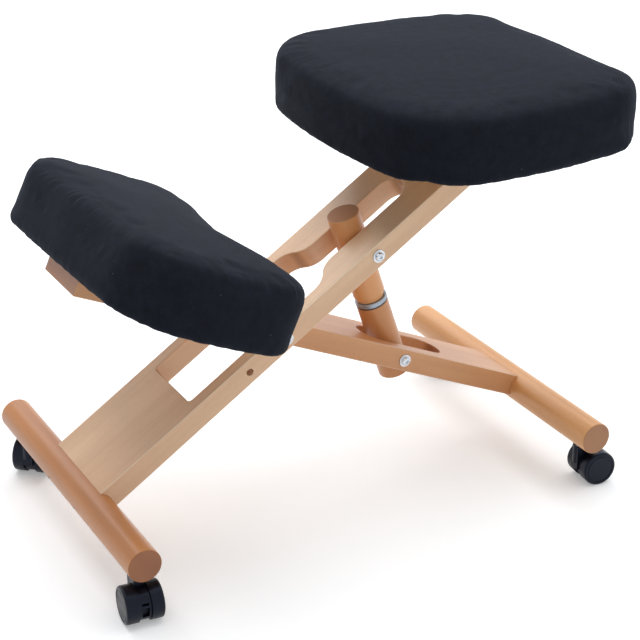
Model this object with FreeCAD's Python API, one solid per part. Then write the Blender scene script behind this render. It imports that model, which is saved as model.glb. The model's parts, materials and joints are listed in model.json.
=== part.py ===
import FreeCAD, Part
import math
import os
from FreeCAD import Placement, Rotation, Vector

# Kneeling chair: two crossed beech boards on round crossbars with casters, a level seat, a knee pad,
# and between the boards a strut of two turned posts that a ring nut on a threaded rod makes longer.
# Millimetres. +Z up, +Y to the rear, +X to the left of a person who sits on it and faces the front.
# The origin is on the floor, below the middle of the chair's length and width.

# Boards. Places along a board are measured from the axis of its own crossbar.
main_to_spare_hole = 264.5
main_to_crossing = 330.0
main_to_post = 494.5
main_to_seat = 732.0
main_end_past_seat = 30.0
rail_width = 20.5
main_thickness = 31.5
knee_to_post = 222.5
knee_to_crossing = 440.0
knee_length = 742.0
knee_width = 97.0
knee_thickness = 31.0
board_edge_radius = 1.6

# Long hole of the main board: a wide part that the knee board passes through, shoulders, a narrow part
slot_start = 180.0
slot_corner_radius = 6.0
shoulder_start = 400.0
shoulder_length = 52.0
slot_end = 597.0
post_hole_start = 138.0
post_hole_end = 280.0

# Crossbars and the wood joints that hold them
crossbar_diameter = 45.0
crossbar_length = 456.0
crossbar_end_radius = 1.5
main_bolt_spacing = 90.0
knee_bolt_spacing = 56.0
crossbar_bolt_length = 80.0
crossbar_bolt_head_depth = 10.0
barrel_nut_from_tip = 11.0
barrel_nut_diameter = 12.0
barrel_nut_length = 16.0

# Strut, wound down to its shortest
strut_length = 189.3
strut_travel = 50.0
post_diameter = 45.0
upper_post_above = 39.3
lower_post_above = 81.5
lower_post_below = 38.5
post_end_radius = 1.5
post_taper_width = 3.0
post_taper_length = 8.0
ring_diameter = 45.6
ring_height = 7.2
ring_chamfer = 0.8
rod_diameter = 16.0
rod_bore_depth_past_rod = 3.0
rod_above_lower_pivot = 12.0
insert_flange_diameter = 44.4
insert_flange_thickness = 1.2
insert_sleeve_diameter = 24.0
insert_sleeve_length = 26.0

# Pivot bolts: a round shoulder turns in the rail, a thread holds it in the inner piece
shoulder_diameter = 10.0
thread_diameter = 8.0
bolt_head_diameter = 12.4
bolt_head_height = 4.6
bolt_socket_width = 5.0
bolt_socket_depth = 2.6
washer_diameter = 17.6
washer_thickness = 1.5
spacer_diameter = 22.0
sleeve_diameter = 12.0
sleeve_short_of_post = 1.5
insert_length = 20.0
thread_engagement = 12.0

# Casters
wheel_top_to_bar = 11.5
caster_from_bar_end = 38.0
caster_trail = 22.0
wheel_diameter = 50.0
wheel_width = 17.0
wheel_edge_radius = 3.0
wheel_groove_diameter = 40.0
wheel_groove_depth = 0.8
hood_width = 15.0
hood_diameter = 45.0
hood_boss_diameter = 15.4
hood_top_below_bar = 4.2
axle_diameter = 6.0
stem_diameter = 8.0
stem_length_in_bar = 28.0
stem_length_in_hood = 20.0
stem_collar_diameter = 13.0
stem_collar_thickness = 1.6
socket_diameter = 11.0
socket_length = 32.0
socket_flange_diameter = 17.0
socket_flange_drop = 2.0
# How far each caster has swivelled: its axle's direction, in degrees from +X
front_left_swivel = 265.0
front_right_swivel = 48.0
rear_left_swivel = 355.0
rear_right_swivel = 5.0

# Cushions: corners of half the outline as x, y and corner radius, from the front to the rear
seat_outline = [(0, -210, 940), (227, -177, 112), (239, -6, 690), (210, 179, 83), (0, 188, 750)]
seat_centre_ahead = 35.0
seat_thickness = 84.5
seat_crown = 7.0
knee_outline = [(0, -128, 2000), (168, -125, 60), (220, -80, 56), (231, -20, 260),
                (219, 118, 66), (126, 126, 80), (0, 97, 44)]
knee_pad_centre = 634.0
knee_pad_thickness = 84.0
knee_pad_crown = 6.0
cushion_edge_radius = 23.0
cushion_tuck = 3.0
cushion_bulge_height = 14.0
panel_thickness = 12.0
seat_panel_size = (380.0, 310.0)
knee_panel_size = (380.0, 150.0)
panel_corner_radius = 40.0
block_start_ahead = 84.0
block_rear_trim = 4.0
block_width = 120.0
screw_diameter = 5.0
screw_head_diameter = 9.6
screw_head_height = 3.0
screw_bite = 9.0
screw_counterbore_diameter = 12.0
seat_screw_spacing = 96.0
seat_screw_ahead = (30.0, -26.0)
seat_screw_cover = (14.0, 5.0)
knee_screw_spacing = 60.0
knee_screw_rows = (575.0, 690.0)
knee_screw_cover = 12.0

# Clearances, on the radius or face to face
knee_board_side_gap = 6.5
upper_post_side_gap = 3.5
lower_post_side_gap = 3.0
wheel_gap = 0.5
glued_fit = 0.05
wood_joint_gap = 0.15
threaded_fit = 0.05
running_fit = 0.08
face_gap = 0.3
washer_gap = 0.1
bolt_hole_gap = 0.2
rod_bore_gap = 1.0

slot_half_width = knee_width / 2 + knee_board_side_gap
main_width = 2 * (slot_half_width + rail_width)
slot_narrow_half_width = post_diameter / 2 + upper_post_side_gap
post_hole_half_width = post_diameter / 2 + lower_post_side_gap
main_end_trim = main_to_seat + main_end_past_seat
caster_height = wheel_diameter + wheel_top_to_bar
caster_x = crossbar_length / 2 - caster_from_bar_end

# The chair stands with both crossbars at one height, so the strut's length sets both slopes
post_arm_main = main_to_post - main_to_crossing
post_arm_knee = knee_to_crossing - knee_to_post


def opening_for(length):
    """Angle between the boards at their crossing when the post pivots are this far apart."""
    arms = post_arm_main ** 2 + post_arm_knee ** 2
    return math.acos((arms - length ** 2) / (2 * post_arm_main * post_arm_knee))


opening = opening_for(strut_length)
wheelbase = math.sqrt(main_to_crossing ** 2 + knee_to_crossing ** 2
                      + 2 * main_to_crossing * knee_to_crossing * math.cos(opening))
main_slope = math.asin(knee_to_crossing * math.sin(opening) / wheelbase)
knee_slope = opening - main_slope

crossbar_radius = crossbar_diameter / 2
axle_height = caster_height + crossbar_radius
front_axis_y = -368.0
front_axis = Vector(0, front_axis_y, axle_height)
rear_axis = Vector(0, front_axis_y + wheelbase, axle_height)
X_AXIS = Vector(1, 0, 0)
Y_AXIS = Vector(0, 1, 0)
Z_AXIS = Vector(0, 0, 1)

# Board frames: x across, y along the board away from its crossbar, z out of its upper face
main_frame = Placement(front_axis, Rotation(X_AXIS, math.degrees(main_slope)))
knee_frame = Placement(rear_axis, Rotation(X_AXIS, -math.degrees(knee_slope)).multiply(Rotation(Z_AXIS, 180)))
crossing = main_frame.multVec(Vector(0, main_to_crossing, 0))
upper_pivot = main_frame.multVec(Vector(0, main_to_post, 0))
lower_pivot = knee_frame.multVec(Vector(0, knee_to_post, 0))
strut_direction = (upper_pivot - lower_pivot).normalize()
strut_turn = Rotation(X_AXIS, math.degrees(math.atan2(-strut_direction.y, strut_direction.z)))
upper_frame = Placement(upper_pivot, strut_turn)
lower_frame = Placement(lower_pivot, strut_turn)
seat_underside = main_frame.multVec(Vector(0, main_to_seat, main_thickness / 2))

parts = {}


def cylinder(radius, start, end, axis=Z_AXIS, base=Vector(0, 0, 0)):
    """Round bar along axis, from start to end measured from base."""
    return Part.makeCylinder(radius, end - start, base + axis * start, axis)


def tube(outer, inner, start, end, axis=Z_AXIS, base=Vector(0, 0, 0)):
    return cylinder(outer, start, end, axis, base).cut(cylinder(inner, start - 1, end + 1, axis, base))


def block(x, y, z):
    """Box between two corners given as (low, high) pairs."""
    return Part.makeBox(x[1] - x[0], y[1] - y[0], z[1] - z[0], Vector(x[0], y[0], z[0]))


def both_sides(shape):
    """The shape and its mirror image across the chair's middle plane."""
    return Part.makeCompound([shape, shape.mirror(Vector(0, 0, 0), X_AXIS)])


def placed(shape, placement):
    moved = shape.copy()
    moved.Placement = placement.multiply(shape.Placement)
    return moved


def round_edges(shape, radius, wanted):
    return shape.makeFillet(radius, [edge for edge in shape.Edges if wanted(edge)])


def at_height(edge, height):
    """True where the whole edge lies at this z."""
    return all(abs(vertex.Z - height) < 1e-4 for vertex in edge.Vertexes)


def outline_face(corners):
    """Flat face whose outline has corners (x, y, radius): straight runs joined by tangent arcs."""
    points = [Vector(x, y, 0) for x, y, radius in corners]
    edges = []
    starts, ends = [], []
    for i, (x, y, radius) in enumerate(corners):
        before = (points[i] - points[i - 1]).normalize()
        after = (points[(i + 1) % len(points)] - points[i]).normalize()
        half_turn = before.getAngle(after) / 2
        reach = radius * math.tan(half_turn)
        first, last = points[i] - before * reach, points[i] + after * reach
        inward = (after - before).normalize()
        middle = points[i] + inward * (radius / math.cos(half_turn) - radius)
        starts.append(first)
        ends.append(last)
        edges.append(Part.Arc(first, middle, last).toShape())
    for i in range(len(points)):
        last, following = ends[i - 1], starts[i]
        if last.distanceToPoint(following) > 1e-6:
            edges.append(Part.LineSegment(last, following).toShape())
    return Part.Face(Part.Wire(Part.__sortEdges__(edges)))


def mirrored_outline(half):
    """Whole outline from the corners of its half at x >= 0, whose first and last are on the middle line."""
    return half + [(-x, y, radius) for x, y, radius in reversed(half[1:-1])]


def inset_outline(corners, inset):
    """Outline moved inward by inset, with rounder hollows and sharper outer corners."""
    count = len(corners)
    points = [Vector(x, y, 0) for x, y, radius in corners]
    runs = [(points[(i + 1) % count] - points[i]).normalize() for i in range(count)]
    moved = []
    for i in range(count):
        before, after = runs[i - 1], runs[i]
        half_turn = before.getAngle(after) / 2
        left_before, left_after = Z_AXIS.cross(before), Z_AXIS.cross(after)
        shift = (left_before + left_after).normalize() * (inset / math.cos(half_turn))
        turns_left = before.cross(after).z > 0
        radius = corners[i][2] - inset if turns_left else corners[i][2] + inset
        moved.append((points[i].x + shift.x, points[i].y + shift.y, radius))
    return moved


def scaled_outline(corners, share):
    return [(x * share, y * share, radius * share) for x, y, radius in corners]


def cushion(half_outline, thickness, crown, panel_size):
    """Crowned foam cushion with drawn-in lower edge, and a recess below for its base panel."""
    outline = mirrored_outline(half_outline)
    edge = cushion_edge_radius
    sections = [(inset_outline(outline, cushion_tuck), 0.0),
                (inset_outline(outline, cushion_tuck / 4), cushion_bulge_height / 2),
                (outline, cushion_bulge_height),
                (outline, thickness - edge)]
    for angle in (18, 36, 54, 72, 90):
        turn = math.radians(angle)
        rounded = inset_outline(outline, edge * (1 - math.cos(turn)))
        sections.append((rounded, thickness - edge * (1 - math.sin(turn))))
    top = inset_outline(outline, edge)
    for share, rise in ((0.85, 0.45), (0.65, 0.8), (0.4, 1.0)):
        sections.append((scaled_outline(top, share), thickness + crown * rise))
    wires = []
    for corners, height in sections:
        wire = outline_face(corners).OuterWire
        wire.translate(Vector(0, 0, height))
        wires.append(wire)
    body = Part.makeLoft(wires, True, True)
    recess = panel(panel_size, face_gap)
    return body.cut(recess)


def panel(size, extra=0.0):
    """Base panel of plywood with round corners, its lower face at z = 0; extra makes it a recess."""
    half_x, half_y = size[0] / 2 + extra, size[1] / 2 + extra
    radius = panel_corner_radius + extra
    corners = [(half_x, -half_y, radius), (half_x, half_y, radius), (-half_x, half_y, radius), (-half_x, -half_y, radius)]
    face = outline_face(corners)
    if extra:
        face.translate(Vector(0, 0, -1))
        return face.extrude(Z_AXIS * (panel_thickness + extra + 1))
    return face.extrude(Z_AXIS * panel_thickness)


def board(length, width, thickness, hole):
    """Flat board with a hole through it and its long edges rounded, in its board frame."""
    plank = block((-width / 2, width / 2), (0, length), (-thickness / 2, thickness / 2))
    hole.translate(Vector(0, 0, -thickness))
    plank = plank.cut(hole.extrude(Z_AXIS * 2 * thickness))
    faces = (thickness / 2, -thickness / 2)
    return round_edges(plank, board_edge_radius, lambda edge: any(at_height(edge, z) for z in faces))


def bar_bolt_places(spacing):
    return (-spacing / 2, spacing / 2)


def crossbar_bolt_tip():
    return crossbar_bolt_length - crossbar_radius + crossbar_bolt_head_depth


def barrel_nut_place():
    return crossbar_bolt_tip() - barrel_nut_from_tip


def joined_to_crossbar(plank, spacing, thickness):
    """Board end hollowed to sit on its crossbar, with bolt holes and the barrel nuts' holes from below."""
    plank = plank.cut(cylinder(crossbar_radius + wood_joint_gap, -200, 200, X_AXIS))
    for x in bar_bolt_places(spacing):
        bolt_radius = thread_diameter / 2 + bolt_hole_gap
        bolt_hole = cylinder(bolt_radius, 0, crossbar_bolt_tip() + 5, Y_AXIS, Vector(x, 0, 0))
        nut_hole = cylinder(barrel_nut_diameter / 2 + glued_fit, -thickness, barrel_nut_length / 2 + 0.5,
                            Z_AXIS, Vector(x, barrel_nut_place(), 0))
        plank = plank.cut(bolt_hole).cut(nut_hole)
    return plank


def crossbar_fasteners(spacing):
    """Bolts through the crossbar into the board's end, and the barrel nuts they pull on."""
    bolts, nuts = [], []
    head_seat = crossbar_bolt_head_depth - crossbar_radius
    for x in bar_bolt_places(spacing):
        base = Vector(x, 0, 0)
        shank = cylinder(thread_diameter / 2, head_seat - 0.5, crossbar_bolt_tip(), Y_AXIS, base)
        head = cylinder(bolt_head_diameter / 2, head_seat - 5, head_seat, Y_AXIS, base)
        socket = hexagon(bolt_socket_width, 3.5)
        socket.Placement = Placement(base + Y_AXIS * (head_seat - 5 - 0.5), Rotation(Z_AXIS, Y_AXIS))
        bolts.append(head.fuse(shank).cut(socket))
        nut = cylinder(barrel_nut_diameter / 2, -barrel_nut_length / 2, barrel_nut_length / 2,
                       Z_AXIS, base + Y_AXIS * barrel_nut_place())
        nuts.append(nut.cut(cylinder(thread_diameter / 2 + threaded_fit, 0, 200, Y_AXIS, base)))
    return Part.makeCompound(bolts), Part.makeCompound(nuts)


def hexagon(width, height):
    """Hexagonal prism, this wide across its flats, standing on z = 0."""
    corner = width / math.sqrt(3)
    turns = [math.radians(angle) for angle in range(0, 361, 60)]
    points = [Vector(corner * math.cos(turn), corner * math.sin(turn), 0) for turn in turns]
    return Part.Face(Part.makePolygon(points)).extrude(Z_AXIS * height)


def crossbar(frame, spacing):
    """Round bar across the chair, bored for its two bolts and its two caster sockets."""
    bar = cylinder(crossbar_radius, -crossbar_length / 2, crossbar_length / 2, X_AXIS)
    bar = bar.makeFillet(crossbar_end_radius, [edge for edge in bar.Edges if edge.Closed])
    for x in bar_bolt_places(spacing):
        base = Vector(x, 0, 0)
        hole = cylinder(thread_diameter / 2 + bolt_hole_gap, -crossbar_radius, crossbar_radius + 5, Y_AXIS, base)
        head_seat = crossbar_bolt_head_depth - crossbar_radius
        head_hole = cylinder(bolt_head_diameter / 2 + 1, -crossbar_radius - 5, head_seat, Y_AXIS, base)
        bar = bar.cut(placed(hole.fuse(head_hole), Placement(Vector(0, 0, 0), frame.Rotation)))
    for x in (-caster_x, caster_x):
        socket_end = socket_length - crossbar_radius + 0.5
        socket_hole = cylinder(socket_diameter / 2 + glued_fit, -crossbar_radius - 5, socket_end, Z_AXIS, Vector(x, 0, 0))
        bar = bar.cut(socket_hole)
    bar.translate(frame.Base)
    return bar


def make_main_board():
    """Long board from the front crossbar up to the seat, with the long stepped hole."""
    wide, narrow = slot_half_width, slot_narrow_half_width
    step = wide - narrow
    shoulder_radius = (shoulder_length ** 2 + step ** 2) / (4 * step)
    shoulder_end = shoulder_start + shoulder_length
    end_centre = slot_end - narrow
    middle = Vector((wide + narrow) / 2, shoulder_start + shoulder_length / 2, 0)
    half_angle = math.asin(shoulder_length / 2 / shoulder_radius) / 2
    bow = shoulder_radius * (1 - math.cos(half_angle)), shoulder_radius * math.sin(half_angle)

    corner = slot_corner_radius
    corner_bow = corner * (1 - math.sin(math.pi / 4))
    side = [Part.Arc(Vector(wide - corner, slot_start, 0), Vector(wide - corner_bow, slot_start + corner_bow, 0),
                     Vector(wide, slot_start + corner, 0)).toShape(),
            Part.LineSegment(Vector(wide, slot_start + corner, 0), Vector(wide, shoulder_start, 0)).toShape(),
            Part.Arc(Vector(wide, shoulder_start, 0), Vector(wide - bow[0], shoulder_start + bow[1], 0),
                     middle).toShape(),
            Part.Arc(middle, Vector(narrow + bow[0], shoulder_end - bow[1], 0),
                     Vector(narrow, shoulder_end, 0)).toShape(),
            Part.LineSegment(Vector(narrow, shoulder_end, 0), Vector(narrow, end_centre, 0)).toShape()]
    far_side = [edge.mirror(Vector(0, 0, 0), X_AXIS) for edge in side]
    foot = Part.LineSegment(Vector(corner - wide, slot_start, 0), Vector(wide - corner, slot_start, 0)).toShape()
    end_45 = narrow * math.sin(math.pi / 4)
    ends = [Part.Arc(Vector(sign * narrow, end_centre, 0), Vector(sign * end_45, end_centre + end_45, 0),
                     Vector(0, slot_end, 0)).toShape() for sign in (1, -1)]
    hole = Part.Face(Part.Wire(Part.__sortEdges__(side + far_side + ends + [foot])))

    plank = board(main_end_trim + 60, main_width, main_thickness, hole)
    plank = joined_to_crossbar(plank, main_bolt_spacing, main_thickness)
    for place in (main_to_spare_hole, main_to_crossing, main_to_post):
        plank = plank.cut(cylinder(shoulder_diameter / 2 + running_fit, -200, 200, X_AXIS, Vector(0, place, 0)))
    plank = plank.cut(block((-200, 200), (main_end_trim, main_end_trim + 200), (-100, 100)))
    plank = placed(plank, main_frame)
    level = seat_underside
    plank = plank.cut(block((-200, 200), (level.y - 300, level.y + 300), (level.z, level.z + 300)))
    for x, y, cover in seat_screw_places():
        plank = plank.cut(screw_hole(x, y, cover))
    return plank


def make_knee_board():
    """Board from the rear crossbar up to the knee pad, with the round-ended hole for the lower post."""
    half = post_hole_half_width
    corners = [(sx * half, y, half - 0.01) for sx, y in ((1, post_hole_start), (1, post_hole_end), (-1, post_hole_end),
                                                        (-1, post_hole_start))]
    plank = board(knee_length, knee_width, knee_thickness, outline_face(corners))
    plank = joined_to_crossbar(plank, knee_bolt_spacing, knee_thickness)
    post_bolt_hole = cylinder(shoulder_diameter / 2 + running_fit, -200, 200, X_AXIS, Vector(0, knee_to_post, 0))
    plank = plank.cut(post_bolt_hole)
    side = knee_width / 2
    crossing_place = Vector(0, knee_to_crossing, 0)
    insert_hole = cylinder(sleeve_diameter / 2 + glued_fit, side - insert_length - 4, side + 5, X_AXIS, crossing_place)
    plank = plank.cut(both_sides(insert_hole))
    for x, y in knee_screw_places():
        place = Vector(x, y, 0)
        head_seat = knee_screw_cover - knee_thickness / 2
        plank = plank.cut(cylinder(screw_diameter / 2 + glued_fit, -50, 50, Z_AXIS, place))
        plank = plank.cut(cylinder(screw_counterbore_diameter / 2, -50, head_seat, Z_AXIS, place))
    return placed(plank, knee_frame)


def seat_screw_places():
    """(x, y, cover) of each seat screw; cover is the counterbore's depth at the screw's axis."""
    return [(x, seat_underside.y - ahead, cover) for ahead, cover in zip(seat_screw_ahead, seat_screw_cover)
            for x in (-seat_screw_spacing / 2, seat_screw_spacing / 2)]


def knee_screw_places():
    return [(x, y) for y in knee_screw_rows for x in (-knee_screw_spacing / 2, knee_screw_spacing / 2)]


def board_face_height(y, side):
    """Height of the main board's upper (side 1) or lower (side -1) face at this y."""
    along = y - front_axis.y
    return axle_height + along * math.tan(main_slope) + side * main_thickness / 2 / math.cos(main_slope)


def screw_seat(y, cover):
    return board_face_height(y, -1) + cover


def screw_hole(x, y, cover):
    """Upright hole for a seat screw, with its counterbore, from below the board."""
    base = Vector(x, y, 0)
    seat = screw_seat(y, cover)
    shank = cylinder(screw_diameter / 2 + glued_fit, seat - 1, seat_underside.z + screw_bite + 1, Z_AXIS, base)
    return shank.fuse(cylinder(screw_counterbore_diameter / 2, seat - 60, seat, Z_AXIS, base))


def screw(length):
    """Flat-seated wood screw standing on its head, with a pointed tip."""
    head = cylinder(screw_head_diameter / 2, 0, screw_head_height)
    shank = cylinder(screw_diameter / 2, screw_head_height / 2, length - screw_diameter)
    tip = Part.makeCone(screw_diameter / 2, 0.4, screw_diameter, Vector(0, 0, length - screw_diameter), Z_AXIS)
    return head.fuse(shank).fuse(tip)


def pivot_bolt(shoulder_inner, shoulder_outer):
    """Bolt on the +X side: domed head outside, shoulder inwards to shoulder_inner, then the thread."""
    head_base = shoulder_outer + washer_gap + washer_thickness
    head = cylinder(bolt_head_diameter / 2, head_base, head_base + bolt_head_height, X_AXIS)
    head_top = head_base + bolt_head_height
    outer_rim = [edge for edge in head.Edges if edge.Closed and abs(edge.CenterOfMass.x - head_top) < 1e-4]
    head = head.makeFillet(bolt_head_height * 0.72, outer_rim)
    socket = hexagon(bolt_socket_width, bolt_socket_depth + 1)
    socket.Placement = Placement(Vector(head_top - bolt_socket_depth, 0, 0), Rotation(Z_AXIS, X_AXIS))
    shoulder = cylinder(shoulder_diameter / 2, shoulder_inner, head_base + 0.5, X_AXIS)
    thread = cylinder(thread_diameter / 2, shoulder_inner - thread_engagement, shoulder_inner + 0.5, X_AXIS)
    return head.fuse(shoulder).fuse(thread).cut(socket)


def pivot_washer(face):
    start = face + washer_gap
    return tube(washer_diameter / 2, shoulder_diameter / 2 + glued_fit, start, start + washer_thickness, X_AXIS)


def make_post_sleeve():
    """Steel cross sleeve, threaded from both ends, that a post's two bolts screw into."""
    half = post_diameter / 2 - sleeve_short_of_post
    return tube(sleeve_diameter / 2, thread_diameter / 2 + threaded_fit, -half, half, X_AXIS)


def make_upper_post():
    """Turned post hung from the main board; its bore takes the rod and its lower end is tapered."""
    low = lower_end_of_upper_post()
    radius = post_diameter / 2
    post = cylinder(radius, low, upper_post_above)
    ends = [edge for edge in post.Edges if edge.Closed]
    top = [edge for edge in ends if edge.CenterOfMass.z > 0]
    post = post.makeFillet(post_end_radius, top)
    taper = Part.makeCone(radius - post_taper_width, radius, post_taper_length, Vector(0, 0, low), Z_AXIS)
    blank = cylinder(radius + 5, low - 1, low + post_taper_length)
    post = post.cut(blank.cut(taper))
    bore_top = rod_top() - strut_length + rod_bore_depth_past_rod
    post = post.cut(cylinder(rod_diameter / 2 + rod_bore_gap, low - 1, bore_top))
    return post.cut(cylinder(sleeve_diameter / 2 + glued_fit, -50, 50, X_AXIS))


def ring_start():
    """Height of the ring nut's lower face above the lower pivot."""
    return lower_post_above + insert_flange_thickness + face_gap


def lower_end_of_upper_post():
    return ring_start() + ring_height + face_gap - strut_length


def rod_top():
    """The rod ends below the upper post's cross sleeve, measured from the lower pivot."""
    return strut_length - sleeve_diameter / 2 - 2 * rod_bore_depth_past_rod - 1.0


def make_lower_post():
    """Turned post pinned in the knee board; it holds the rod."""
    post = cylinder(post_diameter / 2, -lower_post_below, lower_post_above)
    post = post.makeFillet(post_end_radius, [edge for edge in post.Edges if edge.Closed])
    sleeve_end = lower_post_above - insert_sleeve_length - 0.5
    post = post.cut(cylinder(insert_sleeve_diameter / 2 + glued_fit, sleeve_end, lower_post_above + 5))
    post = post.cut(cylinder(rod_diameter / 2 + glued_fit, rod_above_lower_pivot - 1, lower_post_above))
    return post.cut(cylinder(sleeve_diameter / 2 + glued_fit, -50, 50, X_AXIS))


def make_rod_insert():
    """Flanged steel insert let into the top of the lower post, in which the rod is fixed."""
    flange = cylinder(insert_flange_diameter / 2, lower_post_above, lower_post_above + insert_flange_thickness)
    sleeve = cylinder(insert_sleeve_diameter / 2, lower_post_above - insert_sleeve_length, lower_post_above + 0.5)
    return flange.fuse(sleeve).cut(cylinder(rod_diameter / 2 + threaded_fit, 0, 200))


def make_rod():
    rod = cylinder(rod_diameter / 2, rod_above_lower_pivot, rod_top())
    return rod.makeChamfer(1.5, [edge for edge in rod.Edges if edge.Closed])


def make_ring_nut():
    """Ring nut that runs on the rod and carries the upper post."""
    low = ring_start()
    ring = cylinder(ring_diameter / 2, low, low + ring_height)
    ring = ring.makeChamfer(ring_chamfer, [edge for edge in ring.Edges if edge.Closed])
    return ring.cut(cylinder(rod_diameter / 2 + rod_bore_gap, 0, 200))


def caster_pieces():
    """One caster about its stem: z = 0 is the crossbar's lowest line, the axle lies along x behind the stem."""
    axle_z = wheel_diameter / 2 - caster_height
    centre = Vector(0, caster_trail, axle_z)

    bar = cylinder(crossbar_radius + glued_fit, -100, 100, X_AXIS, Vector(0, 0, crossbar_radius))
    around_bar = bar.cut(cylinder(socket_diameter / 2, -10, 60))
    socket = cylinder(socket_diameter / 2, -socket_flange_drop, socket_length - crossbar_radius)
    socket = socket.fuse(cylinder(socket_flange_diameter / 2, -socket_flange_drop, 1.5)).cut(around_bar)
    socket = socket.cut(cylinder(stem_diameter / 2 + running_fit, -10, stem_length_in_bar + 1))

    hood_top = -hood_top_below_bar
    half = hood_width / 2
    disc = cylinder(hood_diameter / 2, -half, half, X_AXIS, centre)
    boss = cylinder(hood_boss_diameter / 2, axle_z + 6, hood_top)
    web = block((-half, half), (2 - hood_boss_diameter / 2, caster_trail), (axle_z - 4, hood_top - 2))
    hood = disc.fuse(boss).fuse(web)
    rear = caster_trail + hood_diameter / 2
    for low, high, depth in ((6, 9, 13), (-11, 3, 7)):
        hood = hood.cut(block((-4.5, 4.5), (rear - depth, rear + 5), (axle_z + low, axle_z + high)))
    hood = hood.cut(cylinder(axle_diameter / 2 + glued_fit, -20, 20, X_AXIS, centre))
    stem_low = hood_top - stem_length_in_hood
    hood = hood.cut(cylinder(stem_diameter / 2 + glued_fit, stem_low - 0.5, hood_top + 1))

    collar_low = hood_top + glued_fit
    stem = cylinder(stem_diameter / 2, stem_low, stem_length_in_bar)
    stem = stem.fuse(cylinder(stem_collar_diameter / 2, collar_low, collar_low + stem_collar_thickness))

    inner = half + wheel_gap
    outer = inner + wheel_width
    axle = cylinder(axle_diameter / 2, 2 - outer, outer - 2, X_AXIS, centre)
    tread = cylinder(wheel_diameter / 2, inner, outer, X_AXIS, centre)
    tread = round_edges(tread, wheel_edge_radius,
                        lambda edge: edge.Closed and abs(edge.CenterOfMass.x - outer) < 1e-4)
    groove_radius = wheel_groove_diameter / 2
    groove = tube(groove_radius, groove_radius - 1.2, outer - wheel_groove_depth, outer + 5, X_AXIS, centre)
    bore = cylinder(axle_diameter / 2 + running_fit, 0, outer - 1.5, X_AXIS, centre)
    wheel = tread.cut(groove).cut(bore)
    return {"socket": socket, "stem": stem, "hood": hood, "axle": axle,
            "wheel_a": wheel, "wheel_b": wheel.mirror(Vector(0, 0, 0), X_AXIS)}


def make_seat_block():
    """Wedge between the sloping board and the level seat panel."""
    front, rear = seat_underside.y - block_start_ahead, seat_underside.y - block_rear_trim
    half = block_width / 2
    points = [Vector(-half, front, board_face_height(front, 1)), Vector(-half, front, seat_underside.z),
              Vector(-half, rear, seat_underside.z), Vector(-half, rear, board_face_height(rear, 1))]
    wedge = Part.Face(Part.makePolygon(points + points[:1])).extrude(X_AXIS * block_width)
    for x, y, cover in seat_screw_places():
        wedge = wedge.cut(screw_hole(x, y, cover))
    return wedge


def make_seat():
    """Seat cushion, its base panel and the screws that hold it from below the board."""
    centre = Vector(0, seat_underside.y - seat_centre_ahead, seat_underside.z)
    foam = cushion(seat_outline, seat_thickness, seat_crown, seat_panel_size)
    base = panel(seat_panel_size)
    foam.translate(centre)
    base.translate(centre)
    screws = []
    for x, y, cover in seat_screw_places():
        base = base.cut(screw_hole(x, y, cover))
        seat = screw_seat(y, cover)
        fixing = screw(seat_underside.z + screw_bite - seat)
        fixing.translate(Vector(x, y, seat - screw_head_height))
        screws.append(fixing)
    return foam, base, Part.makeCompound(screws)


def make_knee_pad():
    """Knee pad, its base panel and screws, on the knee board's upper face."""
    turn = Placement(Vector(0, knee_pad_centre, knee_thickness / 2), Rotation(Z_AXIS, 180))
    foam = placed(cushion(knee_outline, knee_pad_thickness, knee_pad_crown, knee_panel_size), turn)
    base = placed(panel(knee_panel_size), turn)
    screws = []
    head_seat = knee_screw_cover - knee_thickness / 2
    for x, y in knee_screw_places():
        screw_top = knee_thickness / 2 + screw_bite + 1
        base = base.cut(cylinder(screw_diameter / 2 + glued_fit, 0, screw_top, Z_AXIS, Vector(x, y, 0)))
        fixing = screw(knee_thickness / 2 + screw_bite - head_seat)
        fixing.translate(Vector(x, y, head_seat - screw_head_height))
        screws.append(fixing)
    return placed(foam, knee_frame), placed(base, knee_frame), placed(Part.makeCompound(screws), knee_frame)


parts["main_board"] = make_main_board()
parts["knee_board"] = make_knee_board()
for name, frame, spacing in (("front", main_frame, main_bolt_spacing), ("rear", knee_frame, knee_bolt_spacing)):
    parts[f"{name}_crossbar"] = crossbar(frame, spacing)
    bolts, nuts = crossbar_fasteners(spacing)
    parts[f"{name}_crossbar_bolts"] = placed(bolts, frame)
    parts[f"{name}_barrel_nuts"] = placed(nuts, frame)

seat, seat_panel, seat_screws = make_seat()
parts["seat_cushion"] = seat
parts["seat_base_panel"] = seat_panel
parts["seat_block"] = make_seat_block()
parts["seat_screws"] = seat_screws
knee_pad, knee_panel, knee_screws = make_knee_pad()
parts["knee_cushion"] = knee_pad
parts["knee_base_panel"] = knee_panel
parts["knee_screws"] = knee_screws

parts["upper_post"] = placed(make_upper_post(), upper_frame)
parts["lower_post"] = placed(make_lower_post(), lower_frame)
parts["threaded_rod"] = placed(make_rod(), lower_frame)
parts["rod_insert"] = placed(make_rod_insert(), lower_frame)
parts["ring_nut"] = placed(make_ring_nut(), lower_frame)

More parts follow.
